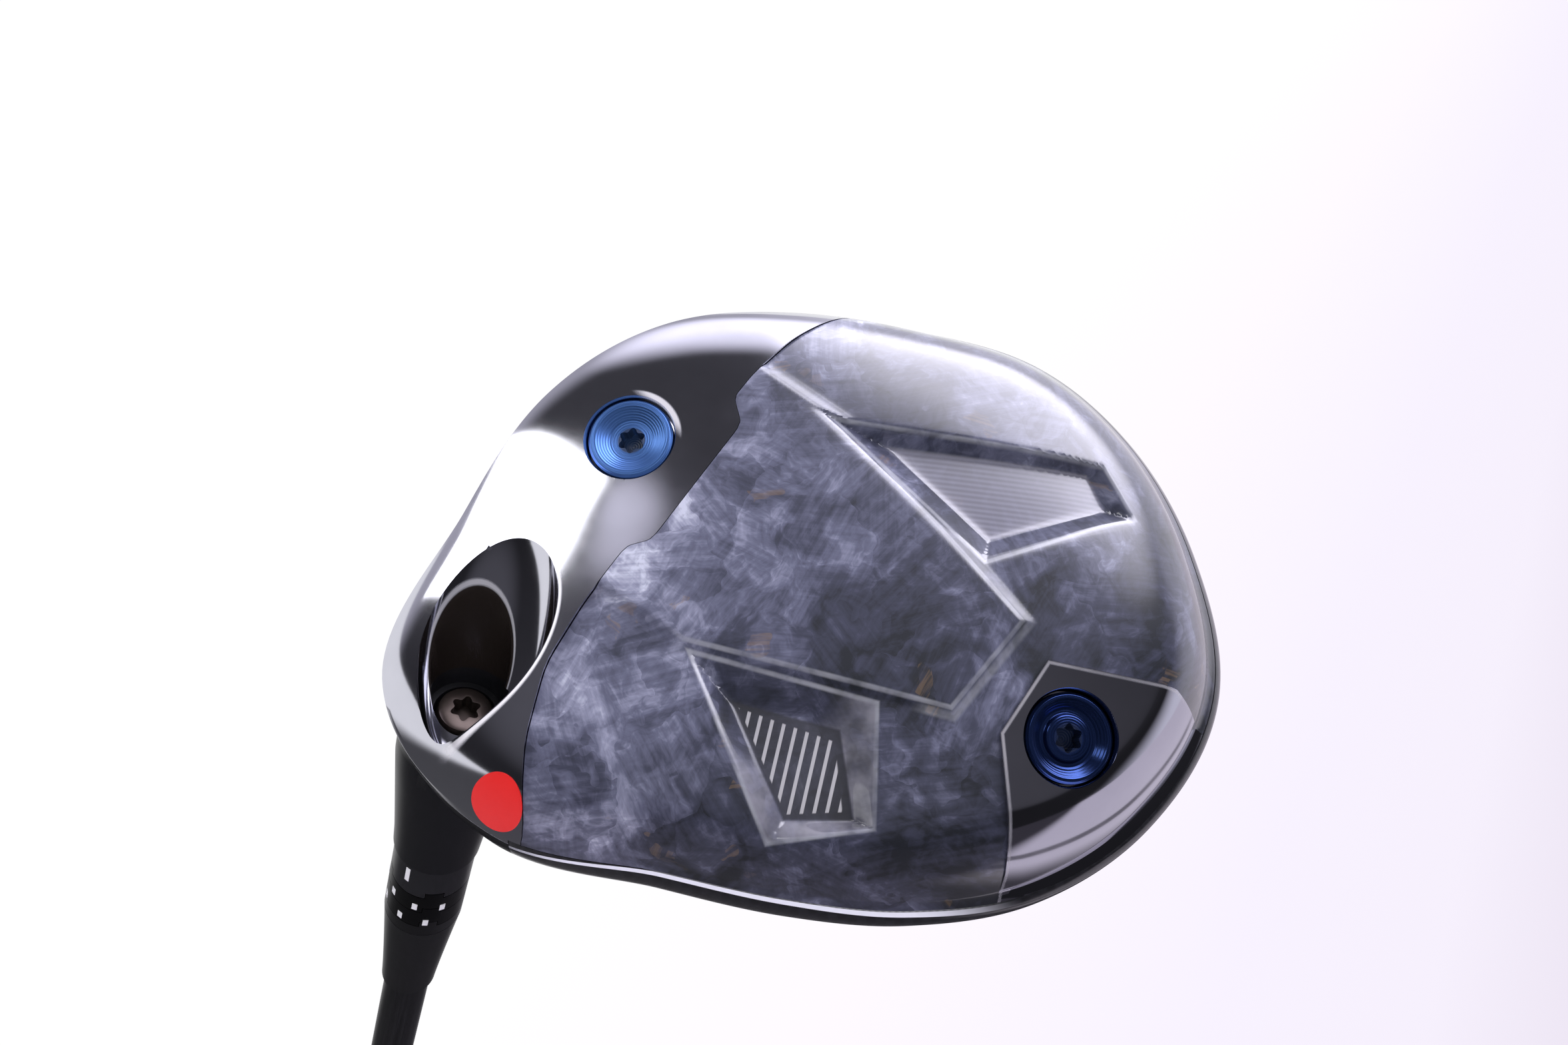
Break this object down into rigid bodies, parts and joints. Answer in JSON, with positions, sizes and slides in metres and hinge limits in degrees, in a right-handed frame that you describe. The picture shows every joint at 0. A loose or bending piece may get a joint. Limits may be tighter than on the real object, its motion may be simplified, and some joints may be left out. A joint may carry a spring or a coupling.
{
  "type": "golf driver",
  "caption": "Left-handed golf driver with a forged-carbon sole, titanium front body, removable screw-in weights and an adjustable toothed hosel held by a captive screw.",
  "frame": {"origin": "centre of the grip's butt end, on the shaft's axis", "axes": "+Z along the shaft from the butt towards the head; the face looks to -X, the toe and the sole lie towards -Y and up, and the crown looks to +Y"},
  "size_m": [0.1124, 0.1051, 1.1922],
  "materials": {
    "dark_titanium": "polished",
    "face_titanium": "satin",
    "hosel_metal": "dark coated",
    "forged_carbon": "clear coated chopped carbon",
    "crown_carbon": "high gloss",
    "housing_metal": "polished",
    "light_blue": "anodised, turned",
    "navy_blue": "anodised, turned",
    "screw_steel": "machined",
    "washer_steel": "plain",
    "retainer_plastic": "plain",
    "adapter_alloy": "dark anodised",
    "cog_metal": "dark coated",
    "ferrule_black": "high gloss",
    "graphite": "painted gloss",
    "grip_rubber": "matt with fine pits",
    "tape": "plain"
  },
  "bodies": {
    "shaft_assembly": {"shaft": "graphite", "grip": "grip_rubber", "grip_cap": "grip_rubber", "grip_tape": "tape", "tip_adapter": "adapter_alloy", "ferrule": "ferrule_black", "loft_cog": "cog_metal", "lie_cog": "cog_metal"},
    "head": {"front_body": "dark_titanium", "face_plate": "face_titanium", "hosel_tube": "hosel_metal", "carbon_sole": "forged_carbon", "carbon_crown": "crown_carbon", "rear_weight_housing": "housing_metal", "screw_washer": "washer_steel"},
    "captive_screw": {"hosel_screw": "screw_steel", "screw_retainer": "retainer_plastic"},
    "front_weight": {"front_weight": "light_blue"},
    "rear_weight": {"rear_weight": "navy_blue"}
  },
  "joints": [
    {"name": "head_release", "type": "slide", "parent": "shaft_assembly", "child": "head", "axis": [0, 0, 1], "range_m": [0, 0.012]},
    {"name": "hosel_screw_turn", "type": "hinge", "parent": "head", "child": "captive_screw", "pos_m": [0, 0, 1.134], "axis": [0, 0, 1], "range_deg": [0, 5400]},
    {"name": "front_weight_out", "type": "slide", "parent": "head", "child": "front_weight", "axis": [-0.0872, -0.5205, 0.8494], "range_m": [0, 0.012]},
    {"name": "rear_weight_out", "type": "slide", "parent": "head", "child": "rear_weight", "axis": [0.2249, -0.5091, 0.8308], "range_m": [0, 0.012]}
  ],
  "couplings": [
    {"joint": "hosel_screw_turn", "follows": "head_release", "rad_per_m": 7854}
  ]
}
